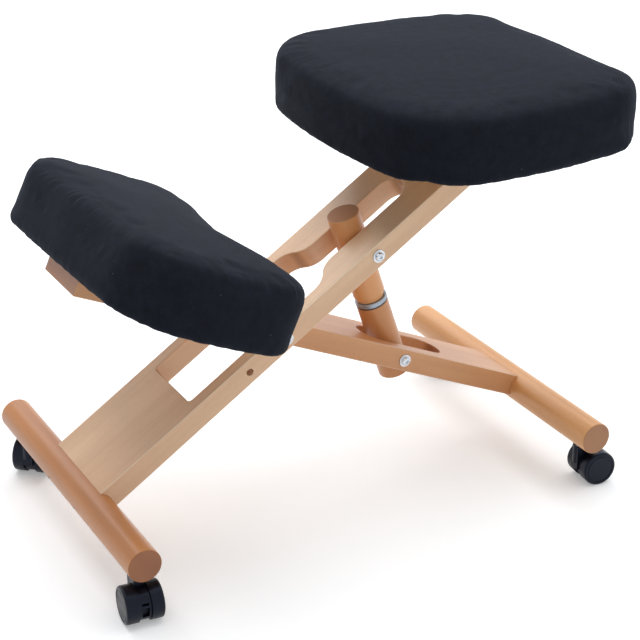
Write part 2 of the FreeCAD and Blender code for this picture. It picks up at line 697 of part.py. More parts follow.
post_surface = post_diameter / 2 - sleeve_short_of_post
pivots = (("crossing", crossing, knee_width / 2, main_width / 2),
          ("upper_pivot", upper_pivot, post_surface + 0.3, main_width / 2),
          ("lower_pivot", lower_pivot, post_surface + 0.3, knee_width / 2))
for name, place, inner, outer in pivots:
    spot = Placement(place, Rotation())
    parts[f"{name}_bolts"] = placed(both_sides(pivot_bolt(inner, outer)), spot)
    parts[f"{name}_washers"] = placed(both_sides(pivot_washer(outer)), spot)
for name, frame in (("upper_post_sleeve", upper_frame), ("lower_post_sleeve", lower_frame)):
    parts[name] = placed(make_post_sleeve(), frame)
knee_side = knee_width / 2
spacer = tube(spacer_diameter / 2, shoulder_diameter / 2 + glued_fit, knee_side + washer_gap,
              slot_half_width - face_gap, X_AXIS)
insert = tube(sleeve_diameter / 2, thread_diameter / 2 + threaded_fit, knee_side - insert_length - 0.5,
              knee_side - 0.5, X_AXIS)
parts["crossing_spacers"] = placed(both_sides(spacer), Placement(crossing, Rotation()))
parts["crossing_inserts"] = placed(both_sides(insert), Placement(crossing, Rotation()))

casters = (("front_left", front_axis, caster_x, front_left_swivel),
           ("front_right", front_axis, -caster_x, front_right_swivel),
           ("rear_left", rear_axis, caster_x, rear_left_swivel),
           ("rear_right", rear_axis, -caster_x, rear_right_swivel))
pieces = caster_pieces()
for name, axis, x, swivel in casters:
    stem_foot = axis + Vector(x, 0, -crossbar_radius)
    for piece, shape in pieces.items():
        turn = 0 if piece == "socket" else swivel
        parts[f"{name}_{piece}"] = placed(shape, Placement(stem_foot, Rotation(Z_AXIS, turn)))

os.makedirs("parts", exist_ok=True)
for name, shape in parts.items():
    assert shape.isValid() and shape.Volume > 0, name
    shape.exportStep(f"parts/{name}.step")

whole = Part.makeCompound(list(parts.values())).BoundBox
print("pieces", len(parts))
print("box x", round(whole.XMin, 2), round(whole.XMax, 2), "y", round(whole.YMin, 2), round(whole.YMax, 2),
      "z", round(whole.ZMin, 2), round(whole.ZMax, 2))
print("slopes", round(math.degrees(main_slope), 3), round(math.degrees(knee_slope), 3), "wheelbase", round(wheelbase, 2))
print("full opening", round(math.degrees(opening_for(strut_length + strut_travel) - opening), 3))
for name, point in (("front_axis", front_axis), ("rear_axis", rear_axis), ("crossing", crossing),
                    ("upper_pivot", upper_pivot), ("lower_pivot", lower_pivot), ("strut_direction", strut_direction),
                    ("seat_underside", seat_underside)):
    print(name, round(point.x, 4), round(point.y, 4), round(point.z, 4))
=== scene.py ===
import json
import math

import bpy
import numpy as np
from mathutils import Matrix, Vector


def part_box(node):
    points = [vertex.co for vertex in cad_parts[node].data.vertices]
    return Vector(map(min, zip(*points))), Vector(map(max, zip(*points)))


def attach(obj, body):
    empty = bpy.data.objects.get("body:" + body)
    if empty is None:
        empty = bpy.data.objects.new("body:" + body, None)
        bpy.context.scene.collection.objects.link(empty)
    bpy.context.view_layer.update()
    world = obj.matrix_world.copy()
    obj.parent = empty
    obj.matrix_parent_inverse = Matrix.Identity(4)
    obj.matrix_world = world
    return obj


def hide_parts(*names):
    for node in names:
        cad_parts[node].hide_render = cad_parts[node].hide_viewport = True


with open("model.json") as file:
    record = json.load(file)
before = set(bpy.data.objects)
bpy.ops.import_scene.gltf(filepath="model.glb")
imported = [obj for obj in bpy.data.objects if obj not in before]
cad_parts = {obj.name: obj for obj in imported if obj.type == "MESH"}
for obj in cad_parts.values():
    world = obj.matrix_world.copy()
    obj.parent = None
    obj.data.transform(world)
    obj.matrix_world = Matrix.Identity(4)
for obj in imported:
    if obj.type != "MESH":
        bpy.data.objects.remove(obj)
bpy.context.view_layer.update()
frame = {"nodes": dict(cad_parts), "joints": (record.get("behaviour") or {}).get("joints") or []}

# Kneeling chair with a beech frame, two cushions in charcoal cloth and four casters.
# Metres, in the row frame: +Z up, +Y to the rear, +X to the sitter's left. Sizes with MM are millimetres.
MM = 0.001

scene = bpy.context.scene


# Places taken from the frame

def record_joint(name):
    return next(joint for joint in frame["joints"] if joint["name"] == name)


def unit(vector):
    vector = np.asarray(vector, float)
    return vector / np.linalg.norm(vector)


def points_of(mesh, attribute="co"):
    values = np.empty(len(mesh.vertices) * 3)
    mesh.vertices.foreach_get(attribute, values)
    return values.reshape(-1, 3)


CROSSING = np.array(record_joint("fold")["pos_m"])
UPPER_PIVOT = np.array(record_joint("upper_post_swing")["pos_m"])
LOWER_PIVOT = np.array(record_joint("lower_post_swing")["pos_m"])
ACROSS = np.array([1.0, 0.0, 0.0])
STRUT = unit(UPPER_PIVOT - LOWER_PIVOT)
MAIN_ALONG = unit(UPPER_PIVOT - CROSSING)
KNEE_ALONG = unit(CROSSING - LOWER_PIVOT)
KNEE_OUT = -unit(np.cross(ACROSS, KNEE_ALONG))


# Materials

def linear(hex_colour):
    """sRGB hex colour as linear RGBA."""
    parts = [int(hex_colour[i:i + 2], 16) / 255 for i in (1, 3, 5)]
    return [c / 12.92 if c <= 0.04045 else ((c + 0.055) / 1.055) ** 2.4 for c in parts] + [1.0]


def add(tree, kind, links=None, out=0, **settings):
    """Adds one shader node and returns its output, by number or name.

    Settings are its properties or inputs, and links join its inputs to other sockets. An input is named with _ for
    a space, or as i and its number.
    """
    node = tree.nodes.new(kind)

    def key(name):
        return int(name[1:]) if name[0] == "i" and name[1:].isdigit() else name.replace("_", " ")

    for name, value in settings.items():
        if hasattr(node, name):
            setattr(node, name, value)
        else:
            node.inputs[key(name)].default_value = value
    for name, socket in (links or {}).items():
        tree.links.new(socket, node.inputs[key(name)])
    return node.outputs[out]


def material(name, roughness, **settings):
    """New material; returns it, its tree, its shader with these uniform settings, and its Object coordinates."""
    made = bpy.data.materials.new(name)
    made.use_nodes = True
    tree = made.node_tree
    shader = tree.nodes["Principled BSDF"]
    shader.inputs["Roughness"].default_value = roughness
    for setting, value in settings.items():
        shader.inputs[setting.replace("_", " ")].default_value = value
    return made, tree, shader, add(tree, "ShaderNodeTexCoord", out="Object")


def edge_highlight_strip(tree, place, node_name, along, width=1.2 * MM):
    """1 in a strip of this width at both sides of a straight board's long outer edges, and 0 elsewhere; it places
    the painted edge highlight.
    """
    points = points_of(frame["nodes"][node_name].data)
    shares = []
    for direction in (ACROSS, np.cross(ACROSS, along)):
        reach = points @ direction
        middle, half_size = (reach.max() + reach.min()) / 2, (reach.max() - reach.min()) / 2
        here = add(tree, "ShaderNodeVectorMath", {"i0": place}, "Value", operation="DOT_PRODUCT",
                   i1=tuple(direction))
        offset = add(tree, "ShaderNodeMath", {"i0": here}, operation="SUBTRACT", i1=middle)
        size = add(tree, "ShaderNodeMath", {"i0": offset}, operation="ABSOLUTE")
        shares.append(add(tree, "ShaderNodeMapRange", {"Value": size}, From_Min=half_size - width,
                          From_Max=half_size - width / 2))
    return add(tree, "ShaderNodeMath", {"i0": shares[0], "i1": shares[1]}, operation="MULTIPLY")


def beech(name, along, tones, end_tone, pith, board=None, edge_highlight_strength=0.0):
    """Beech sawn, sanded and lacquered: a warm satin surface with faint grain.

    The grain is solid. Growth rings lie round a pith beside the piece and run along it, so they show as long faint
    stripes on its faces and as arcs on its ends. Broad changes of tone, fine fibre and short dark flecks, which
    are beech's own mark, lie over them. The clear coat gives pale reflections where the eye meets it at a slant.
    Along a board's long eased edges a pale strip is painted: a painted highlight for the thin line of light they
    catch.
    """
    # FFF0DC is the pale colour of the painted edge highlight.
    deep_end_tone, edge_highlight_tone = "#6B3F22", "#FFF0DC"
    ring_unit = 2.6 * MM * 20 / (2 * math.pi)
    made, tree, shader, place = material(name, 0.5, IOR=1.5, Coat_Weight=0.45, Coat_Roughness=0.28, Coat_IOR=1.5)
    turn = Vector((0, 1, 0)).rotation_difference(Vector(along)).inverted().to_euler()
    turned = add(tree, "ShaderNodeMapping", {"Vector": place}, Rotation=turn)

    # Each pattern's kind, size across and along the grain, shift in its own units, and settings.
    noise, wave = "ShaderNodeTexNoise", "ShaderNodeTexWave"
    patterns = {
        "broad": (noise, 36 * MM, 420 * MM, (0, 0, 0), dict(Detail=2.0)),
        "rings": (wave, ring_unit, 9 * ring_unit, (pith[0] / ring_unit, 0.0, pith[1] / ring_unit),
                  dict(wave_type="RINGS", rings_direction="Y", wave_profile="SAW", Distortion=5.0, Detail=2.0,
                       Detail_Scale=0.35, Detail_Roughness=0.5)),
        "fibre": (noise, 0.9 * MM, 32 * MM, (0, 0, 0), dict(Detail=2.0)),
        "fleck": (noise, 1.1 * MM, 6.5 * MM, (0, 0, 0), dict(Detail=1.0)),
        "streak": (noise, 7 * MM, 240 * MM, (3, 1, 5), dict(Detail=3.0, Distortion=0.3)),
    }
    drawn = {}
    for pattern, (kind, across, length, shift, settings) in patterns.items():
        stretched = add(tree, "ShaderNodeMapping", {"Vector": turned}, Location=shift,
                        Scale=(1 / across, 1 / length, 1 / across))
        drawn[pattern] = add(tree, kind, {"Vector": stretched}, "Fac", Scale=1.0, **settings)
    tone = add(tree, "ShaderNodeMapRange", {"Value": drawn["broad"]}, From_Min=0.3, From_Max=0.7)
    colour = add(tree, "ShaderNodeMix", {"i0": tone}, 2, data_type="RGBA", i6=linear(tones[0]), i7=linear(tones[1]))
    for pattern, low, high, amount in (("rings", 0.45, 1.0, 0.05), ("streak", 0.5, 0.75, 0.08),
                                       ("fibre", 0.4, 0.7, 0.05), ("fleck", 0.6, 0.7, 0.13)):
        darker = add(tree, "ShaderNodeMapRange", {"Value": drawn[pattern]}, From_Min=low, From_Max=high,
                     To_Max=amount)
        colour = add(tree, "ShaderNodeMix", {"i0": darker, "i6": colour}, 2, data_type="RGBA", i7=linear(end_tone))
    normal = add(tree, "ShaderNodeTexCoord", out="Normal")
    facing = add(tree, "ShaderNodeVectorMath", {"i0": normal}, "Value", operation="DOT_PRODUCT", i1=tuple(along))
    endwise = add(tree, "ShaderNodeMath", {"i0": facing}, operation="ABSOLUTE")
    at_end = add(tree, "ShaderNodeMapRange", {"Value": endwise}, From_Min=0.6, From_Max=0.85, To_Max=0.75)
    arcs = add(tree, "ShaderNodeMapRange", {"Value": drawn["rings"]}, From_Min=0.4, From_Max=1.0, To_Max=0.25)
    end_colour = add(tree, "ShaderNodeMix", {"i0": arcs}, 2, data_type="RGBA", i6=linear(end_tone),
                     i7=linear(deep_end_tone))
    colour = add(tree, "ShaderNodeMix", {"i0": at_end, "i6": colour, "i7": end_colour}, 2, data_type="RGBA")
    # Painted highlight: a pale strip along the board's long edges stands in for the light that its eased edges
    # catch.
    if board:
        at_edge = add(tree, "ShaderNodeMapRange", {"Value": edge_highlight_strip(tree, place, board, along)},
                      To_Max=edge_highlight_strength)
        colour = add(tree, "ShaderNodeMix", {"i0": at_edge, "i6": colour}, 2, data_type="RGBA",
                     i7=linear(edge_highlight_tone))
    tree.links.new(colour, shader.inputs["Base Color"])
    bump = add(tree, "ShaderNodeBump", {"Height": drawn["fibre"]}, Strength=0.22, Distance=0.05 * MM)
    tree.links.new(bump, shader.inputs["Normal"])
    return made


def metal(name, colour, roughness, grain, depth):
    """Plated or turned metal: uneven gloss and small dents at this grain size."""
    made, tree, shader, place = material(name, roughness, Metallic=1.0, Base_Color=linear(colour))
    scaled = add(tree, "ShaderNodeMapping", {"Vector": place}, Scale=(1 / grain,) * 3)
    pattern = add(tree, "ShaderNodeTexNoise", {"Vector": scaled}, "Fac", Scale=1.0, Detail=3.0)
    gloss = add(tree, "ShaderNodeMapRange", {"Value": pattern}, From_Min=0.3, From_Max=0.7,
                To_Min=roughness * 0.75, To_Max=roughness * 1.35)
    tree.links.new(gloss, shader.inputs["Roughness"])
    bump = add(tree, "ShaderNodeBump", {"Height": pattern}, Strength=0.2, Distance=depth)
    tree.links.new(bump, shader.inputs["Normal"])
    return made


def moulded(name, colour, worn_colour, roughness, grain):
    """Moulded plastic: black with a blue cast, glossy, with a fine skin and faint scuffs that dull it."""
    scuff_size = 9 * MM
    made, tree, shader, place = material(name, roughness, IOR=1.53, Specular_IOR_Level=0.34,
                                         Specular_Tint=linear("#B4C0E0"))
    fine = add(tree, "ShaderNodeMapping", {"Vector": place}, Scale=(1 / grain,) * 3)
    skin = add(tree, "ShaderNodeTexNoise", {"Vector": fine}, "Fac", Scale=1.0, Detail=4.0)
    coarse = add(tree, "ShaderNodeMapping", {"Vector": place}, Scale=(1 / scuff_size,) * 3)
    scuff = add(tree, "ShaderNodeTexNoise", {"Vector": coarse}, "Fac", Scale=1.0, Detail=4.0)
    worn = add(tree, "ShaderNodeMapRange", {"Value": scuff}, From_Min=0.45, From_Max=0.75)
    tone = add(tree, "ShaderNodeMix", {"i0": worn}, 2, data_type="RGBA", i6=linear(colour), i7=linear(worn_colour))
    tree.links.new(tone, shader.inputs["Base Color"])
    dulled = add(tree, "ShaderNodeMapRange", {"Value": scuff}, From_Min=0.4, From_Max=0.7, To_Min=roughness,
                 To_Max=roughness + 0.16)
    tree.links.new(dulled, shader.inputs["Roughness"])
    bump = add(tree, "ShaderNodeBump", {"Height": skin}, Strength=0.12, Distance=0.03 * MM)
    tree.links.new(bump, shader.inputs["Normal"])
    return made


def plywood(name):
    """Birch plywood, sanded: pale streaky face veneer, and darker glue lines between the plies at its edge."""
    ply, streak_length, streak_width = 1.4 * MM, 160 * MM, 6 * MM
    made, tree, shader, place = material(name, 0.62, IOR=1.5)
    scaled = add(tree, "ShaderNodeMapping", {"Vector": place}, Scale=(1 / streak_length,) + (1 / streak_width,) * 2)
    streak = add(tree, "ShaderNodeTexNoise", {"Vector": scaled}, "Fac", Scale=1.0, Detail=4.0)
    tone = add(tree, "ShaderNodeMapRange", {"Value": streak}, From_Min=0.3, From_Max=0.7)
    veneer = add(tree, "ShaderNodeMix", {"i0": tone}, 2, data_type="RGBA", i6=linear("#C9A877"),
                 i7=linear("#D8BC8F"))
    layers = add(tree, "ShaderNodeTexWave", {"Vector": place}, "Fac", wave_type="BANDS", bands_direction="Z",
                 Scale=math.pi / 10 / ply, Distortion=0.4)
    normal = add(tree, "ShaderNodeTexCoord", out="Normal")
    upward = add(tree, "ShaderNodeSeparateXYZ", {"Vector": normal}, "Z")
    level = add(tree, "ShaderNodeMath", {"i0": upward}, operation="ABSOLUTE")
    at_edge = add(tree, "ShaderNodeMapRange", {"Value": level}, From_Min=0.2, From_Max=0.6, To_Min=1.0, To_Max=0.0)
    glue = add(tree, "ShaderNodeMapRange", {"Value": layers}, From_Min=0.6, From_Max=0.9, To_Max=0.6)
    lines = add(tree, "ShaderNodeMath", {"i0": glue, "i1": at_edge}, operation="MULTIPLY")
    colour = add(tree, "ShaderNodeMix", {"i0": lines, "i6": veneer}, 2, data_type="RGBA", i7=linear("#7A4F2A"))
    tree.links.new(colour, shader.inputs["Base Color"])
    return made


def upholstery(name):
    """Charcoal-navy brushed cloth: matt, with a short nap that pales at a slant and a few specks of pale lint.

    The real thread, about 0.4 mm, is too fine to show at this distance, so the weave is drawn 1.1 mm wide.
    """
    thread, nap_size, mottle_size, brush_size = 1.1 * MM, 1.4 * MM, 16 * MM, (9 * MM, 2 * MM, 2.6 * MM)
    made, tree, shader, place = material(name, 0.95, Specular_IOR_Level=0.12, Sheen_Weight=0.13,
                                         Sheen_Roughness=0.4, Sheen_Tint=linear("#8B94A8"))
    scaled = add(tree, "ShaderNodeMapping", {"Vector": place}, Scale=(1 / mottle_size,) * 3)
    mottle = add(tree, "ShaderNodeTexNoise", {"Vector": scaled}, "Fac", Scale=1.0, Detail=4.0, Roughness=0.6)
    tone = add(tree, "ShaderNodeMapRange", {"Value": mottle}, From_Min=0.3, From_Max=0.72)
    colour = add(tree, "ShaderNodeMix", {"i0": tone}, 2, data_type="RGBA", i6=linear("#15181F"),
                 i7=linear("#1B1F29"))
    scaled = add(tree, "ShaderNodeMapping", {"Vector": place}, Scale=[1 / size for size in brush_size])
    brushed = add(tree, "ShaderNodeTexNoise", {"Vector": scaled}, "Fac", Scale=1.0, Detail=3.0)
    raised = add(tree, "ShaderNodeMapRange", {"Value": brushed}, From_Min=0.5, From_Max=0.75, To_Max=0.16)
    colour = add(tree, "ShaderNodeMix", {"i0": raised, "i6": colour}, 2, data_type="RGBA", i7=linear("#2D3240"))
    for cell, radius, keep, strength in ((17 * MM, 0.55 * MM, 0.62, 0.5), (6.5 * MM, 0.3 * MM, 0.7, 0.25)):
        distance = add(tree, "ShaderNodeTexVoronoi", {"Vector": place}, "Distance", Scale=1 / cell)
        spot = add(tree, "ShaderNodeMapRange", {"Value": distance}, From_Min=radius / cell * 0.6,
                   From_Max=radius / cell, To_Min=strength, To_Max=0.0)
        chance = add(tree, "ShaderNodeSeparateColor", {"Color": distance.node.outputs["Color"]}, "Red")
        kept = add(tree, "ShaderNodeMath", {"i0": chance}, operation="GREATER_THAN", i1=keep)
        lint = add(tree, "ShaderNodeMath", {"i0": spot, "i1": kept}, operation="MULTIPLY")
        colour = add(tree, "ShaderNodeMix", {"i0": lint, "i6": colour}, 2, data_type="RGBA", i7=linear("#9EA1AA"))
    tree.links.new(colour, shader.inputs["Base Color"])
    weave = [add(tree, "ShaderNodeTexWave", {"Vector": place}, "Fac", wave_type="BANDS", bands_direction=axis,
                 Scale=math.pi / 10 / thread, Distortion=0.6, Detail=1.0) for axis in "XYZ"]
    crossed = add(tree, "ShaderNodeMath", {"i0": weave[0], "i1": weave[1]}, operation="MULTIPLY")
    crossed = add(tree, "ShaderNodeMath", {"i0": crossed, "i1": weave[2]}, operation="ADD")
    scaled = add(tree, "ShaderNodeMapping", {"Vector": place}, Scale=(1 / nap_size,) * 3)
    nap = add(tree, "ShaderNodeTexNoise", {"Vector": scaled}, "Fac", Scale=1.0, Detail=3.0)
    height = add(tree, "ShaderNodeMath", {"i0": crossed, "i1": nap}, operation="ADD")
    bump = add(tree, "ShaderNodeBump", {"Height": height}, Strength=0.35, Distance=0.2 * MM)
    tree.links.new(bump, shader.inputs["Normal"])
    return made


# The last number in the main and knee board calls is the strength of their painted edge highlight.
MAIN_BEECH = beech("beech_lacquered_main_board", MAIN_ALONG, ("#E4B993", "#F3CEA9"), "#A8733F",
                   (90 * MM, 160 * MM), "main_board", 0.75)
KNEE_BEECH = beech("beech_lacquered_knee_board", KNEE_ALONG, ("#CC8D5C", "#DBA06D"), "#8E5029",
                   (-70 * MM, 120 * MM), "knee_board", 0.4)
FRONT_BEECH = beech("beech_lacquered_front_crossbar", ACROSS, ("#AB692F", "#C98344"), "#80461F",
                    (30 * MM, 46 * MM))
REAR_BEECH = beech("beech_lacquered_rear_crossbar", ACROSS, ("#D39559", "#E7AB6E"), "#87502B",
                   (-38 * MM, 30 * MM))
# Painted light: the upper post's tones are lighter than the lower post's, to make up for the shade that the seat
# casts on its side.
UPPER_BEECH_BRIGHTENED = beech("beech_upper_post_painted_light", STRUT, ("#DD9B5F", "#E9AA6F"), "#955830", (34 * MM, 30 * MM))
LOWER_BEECH = beech("beech_lacquered_lower_post", STRUT, ("#C5834B", "#D5945B"), "#8F542F", (-30 * MM, 36 * MM))
ZINC = metal("steel_zinc_plated", "#D3D8DE", 0.26, 1.4 * MM, 0.03 * MM)
STEEL = metal("steel_turned", "#B4B6B9", 0.32, 0.8 * MM, 0.02 * MM)
# Dark grey steel for the rod insert, whose flange shows as a dark line under the ring nut.
DARK_STEEL = metal("steel_dark_grey", "#4A4C50", 0.45, 0.8 * MM, 0.02 * MM)
RING = metal("aluminium_anodised_grey", "#A9B2BC", 0.5, 0.7 * MM, 0.02 * MM)
NYLON = moulded("nylon_moulded_black", "#080A11", "#12141D", 0.3, 0.5 * MM)
SOCKET = moulded("polyethylene_moulded_black", "#0C0C0D", "#19191A", 0.5, 0.5 * MM)
PLY = plywood("birch_plywood_sanded")
CLOTH = upholstery("cloth_brushed_charcoal")

FINISHES = (("seat_block", MAIN_BEECH), ("main_board", MAIN_BEECH), ("knee_board", KNEE_BEECH),
            ("front_crossbar", FRONT_BEECH), ("rear_crossbar", REAR_BEECH), ("upper_post", UPPER_BEECH_BRIGHTENED),
            ("lower_post", LOWER_BEECH), ("_panel", PLY), ("ring_nut", RING), ("rod_insert", DARK_STEEL),
            ("_wheel_a", NYLON), ("_wheel_b", NYLON), ("_hood", NYLON), ("_socket", SOCKET), ("_stem", STEEL),
            ("_axle", STEEL), ("_rod", STEEL), ("", ZINC))
for node_name, node in frame["nodes"].items():
    finish = next(made for ending, made in FINISHES if node_name.endswith(ending))
    node.data.materials.clear()
    node.data.materials.append(finish)


# Meshes

def mesh_object(name, vertices, faces, made, smooth=True):
    """Mesh piece at the origin from vertex and face arrays, with one material."""
    mesh = bpy.data.meshes.new(name)
    mesh.from_pydata(np.asarray(vertices).tolist(), [], [face.tolist() for face in faces])
    if smooth:
        mesh.shade_smooth()
    mesh.materials.append(made)
    piece = bpy.data.objects.new(name, mesh)
    scene.collection.objects.link(piece)
    return piece


def closed_grid(rings):
    """Vertices and faces of a closed surface through rings (rows, points, 3), with a point closing each end."""
    rows, count = rings.shape[:2]
    vertices = np.vstack([rings.reshape(-1, 3), rings[0].mean(0), rings[-1].mean(0)])
    index = np.arange(rows * count).reshape(rows, count)
    following = np.roll(index, -1, axis=1)
    quads = np.stack([index[:-1], following[:-1], following[1:], index[1:]], 2).reshape(-1, 4)
    low = np.stack([np.full(count, rows * count), following[0], index[0]], 1)
    high = np.stack([np.full(count, rows * count + 1), index[-1], following[-1]], 1)
    return vertices, list(quads) + list(low) + list(high)


# Cushions. Local frame, in mm: x to the left, y to the rear, z up from the underside.

SEAT = dict(outline=[(0, -210, 954), (227, -177, 112), (239, -6, 696), (210, 179, 83), (0, 188, 750)],
            thickness=84.5, crown=7.0, grow=1.2, push=2.7, tuck=2.2, edge=23.4, low_edge=3.5, panel=(190.0, 155.0),
            yaw=0.0, lean=0.0, drop=0.4, low_pucker=0.45, top_pucker=0.3, seed=3)
KNEE = dict(outline=[(0, -124, 2000), (166, -122, 64), (224, -88, 55), (239, -13, 301), (223, 115, 66),
                     (123, 122, 81), (0, 94, 44)],
            thickness=88.0, crown=6.0, grow=1.2, push=2.6, tuck=0.6, edge=24.2, low_edge=2.5, panel=(190.0, 75.0),
            yaw=0.4, lean=0.0192, drop=2.8, low_pucker=0.5, top_pucker=0.8, seed=8)
PANEL_CORNER, PANEL_THICKNESS, PANEL_GAP, HEM_WIDTH, HEM_THICKNESS = 40.0, 12.0, 0.6, 26.0, 0.8
HEM_OUTSIDE, HEM_CUT, HEM_LIFT = 3.0, 2.2, 0.35
STAPLE_HALF, STAPLE_BELOW, STAPLE_TURN = (5.5, 0.35, 0.3), 1.35, 0.25
CLOTH_FRAMES, HELD_HEIGHT = 20, 4 * MM

# Shortest and longest wave of each ripple in the cloth, and how far the creases reach from their edge.
LOW_FOLD_WAVES, LOW_LUMP_WAVES, TOP_FOLD_WAVES, TOP_LUMP_WAVES = (36, 110), (16, 44), (9, 26), (10, 40)
SWELL_WAVES, SLOPE_WAVES, LOW_FOLD_REACH, TOP_FOLD_REACH = (90, 260), (40, 120), 13, 8


def rounded_outline(corners, count):
    """Closed outline with corners (x, y, radius), as count points spaced evenly, counter-clockwise.

    Each corner is the arc of its radius that touches both sides, and the points lie evenly along arcs and runs.
    The first point is in the middle of the first corner's arc.
    """
    corners = np.array(corners, float)
    points, radii = corners[:, :2], corners[:, 2]
    before = points - np.roll(points, 1, axis=0)
    after = np.roll(points, -1, axis=0) - points
    before /= np.linalg.norm(before, axis=1)[:, None]
    after /= np.linalg.norm(after, axis=1)[:, None]
    turn = np.arctan2(before[:, 0] * after[:, 1] - before[:, 1] * after[:, 0], (before * after).sum(1))
    start = points - before * (radii * np.abs(np.tan(turn / 2)))[:, None]
    steps = 40
    angle = np.arctan2(before[:, 1], before[:, 0])[:, None] + turn[:, None] * np.linspace(0, 1, steps + 1)
    side = np.sign(turn)[:, None] * radii[:, None]
    x = start[:, :1] + side * (np.sin(angle) - np.sin(angle[:, :1]))
    y = start[:, 1:] - side * (np.cos(angle) - np.cos(angle[:, :1]))
    path = np.roll(np.stack([x, y], 2).reshape(-1, 2), -steps // 2, axis=0)
    path = np.vstack([path, path[:1]])
    length = np.concatenate([[0], np.cumsum(np.linalg.norm(np.diff(path, axis=0), axis=1))])
    even = np.linspace(0, length[-1], count, endpoint=False)
    return np.stack([np.interp(even, length, path[:, 0]), np.interp(even, length, path[:, 1])], 1)


def mirrored(half):
    return half + [(-x, y, radius) for x, y, radius in reversed(half[1:-1])]


def panel_outline(half_size, grow, count):
    """The base panel's rounded rectangle, larger by grow all round, as count points."""
    x, y, radius = half_size[0] + grow, half_size[1] + grow, PANEL_CORNER + grow
    return rounded_outline([(0, -y, 1), (x, -y, radius), (x, y, radius), (-x, y, radius), (-x, -y, radius)], count)


def pad_rings(pad, count=360):
    """Rings of a pad from the middle of its recess, down its wall, out over the underside, up the side to the top.

    The profile is the recess for the panel, a small lower rounding, a side that swells by tuck from there, an upper
    rounding of radius edge and a crown that rises as a quarter of a sine to the middle.
    """
    outline = rounded_outline(mirrored(pad["outline"]), count)
    tangent = np.roll(outline, -1, axis=0) - np.roll(outline, 1, axis=0)
    outward = np.stack([tangent[:, 1], -tangent[:, 0]], 1) / np.linalg.norm(tangent, axis=1)[:, None]
    recess = panel_outline(pad["panel"], PANEL_GAP, count)
    recess_depth = PANEL_THICKNESS + PANEL_GAP
    thickness, edge, low, tuck = pad["thickness"], pad["edge"], pad["low_edge"], pad["tuck"]
    foot = outline - outward * (low + tuck)
    rings = []

    def ring(flat, height):
        rings.append(np.column_stack([flat, np.full(count, height)]))

    for share in (0.15, 0.4, 0.7, 0.9, 1.0):
        ring(recess * share, recess_depth)
    ring(recess, recess_depth / 2)
    for share in (0.0, 0.25, 0.5, 0.75, 0.92):
        ring(recess * (1 - share) + foot * share, 0.0)
    for angle in np.radians([0, 30, 60, 90]):
        ring(outline - outward * (tuck + low * (1 - np.sin(angle))), low * (1 - np.cos(angle)))
    for rise in np.linspace(0, 1, 9)[1:-1]:
        ring(outline - outward * (tuck * (1 - rise) ** 3), low + (thickness - edge - low) * rise)
    for angle in np.radians(np.linspace(0, 90, 9)):
        ring(outline - outward * (edge * (1 - np.cos(angle))), thickness - edge * (1 - np.sin(angle)))
    top = outline - outward * edge
    for share in (0.97, 0.93, 0.87, 0.8, 0.7, 0.6, 0.5, 0.4, 0.3, 0.2, 0.1):
        ring(top * share, thickness + pad["crown"] * math.sin((1 - share) / 0.9 * math.pi / 2))
    return np.array(rings)


def along_outline(pad, points):
    """For points in mm: distance along the pad's outline as a share of it, its length, and inset from it."""
    outline = rounded_outline(mirrored(pad["outline"]), 720)
    angle = np.unwrap(np.arctan2(outline[:, 1], outline[:, 0]))
    reach = np.linalg.norm(outline, axis=1)
    length = np.linalg.norm(np.roll(outline, -1, axis=0) - outline, axis=1).sum()
    here = angle[0] + np.mod(np.arctan2(points[:, 1], points[:, 0]) - angle[0], 2 * math.pi)
    share = np.interp(here, np.append(angle, angle[0] + 2 * math.pi), np.linspace(0, 1, 721))
    reach = np.interp(here, np.append(angle, angle[0] + 2 * math.pi), np.append(reach, reach[0]))
    return share, length, reach - np.linalg.norm(points[:, :2], axis=1)


def ripple(share, length, wavelengths, count, random):
    """Uneven ripple round a closed outline: a sum of sines whose whole numbers of waves have these wavelengths."""
    waves = np.round(length / random.uniform(*wavelengths, count))
    shifts = random.uniform(0, 2 * math.pi, count)
    return np.sin(2 * math.pi * share[:, None] * waves + shifts).sum(1) / math.sqrt(count)


def puckered(pad, points, normals, push):
    """Moves cloth points along their normals, into creases where the cloth is pulled under and at the top edge.

    A crease is a narrow valley where an uneven ripple crosses zero. The lower ones fade up the side; the upper ones
    fade away from the top edge. A long shallow swell goes round both. Push moves the whole cloth out, and half as
    much again at both edges, which makes up for what the pressure rounds off.
    """
    random = np.random.default_rng(pad["seed"])
    share, length, inset = along_outline(pad, points)
    height, edge = points[:, 2], pad["edge"]
    outer = 1 / (1 + np.exp((inset - 34) / 5))
    low_folds = 1 - np.abs(np.tanh(2.2 * ripple(share, length, LOW_FOLD_WAVES, 9, random)))
    low_lumps = ripple(share, length, LOW_LUMP_WAVES, 9, random)
    at_foot = np.exp(-(height / LOW_FOLD_REACH) ** 2) * outer
    corner = np.hypot(inset - edge * 0.3, height - pad["thickness"] + edge * 0.3)
    at_top_edge = np.exp(-(corner / TOP_FOLD_REACH) ** 2)
    top_folds = 1 - np.abs(np.tanh(2.0 * ripple(share, length, TOP_FOLD_WAVES, 12, random)))
    top_lumps = ripple(share, length, TOP_LUMP_WAVES, 10, random)
    swell = ripple(share, length, SWELL_WAVES, 6, random)
    up_side = np.clip(height / 20, 0, 1) * outer
    slope = ripple(share, length, SLOPE_WAVES, 6, random)
    inner = np.clip((inset - edge) / 30, 0, 1)
    wander = 0.35 * np.sin(points[:, 0] / 31 + 2.1) * np.sin(points[:, 1] / 37 + 0.6) * inner
    moved = (pad["low_pucker"] * (0.4 - low_folds) * at_foot + 0.35 * pad["low_pucker"] * low_lumps * at_foot
             + pad["top_pucker"] * (0.4 + 0.5 * top_lumps - top_folds) * at_top_edge
             + 0.5 * swell * up_side + 0.25 * slope * np.sin(height / 14) * outer + wander
             + push * (1 + 0.5 * at_foot + 0.5 * at_top_edge) * off_panel(pad, points))
    return points + normals * moved[:, None]


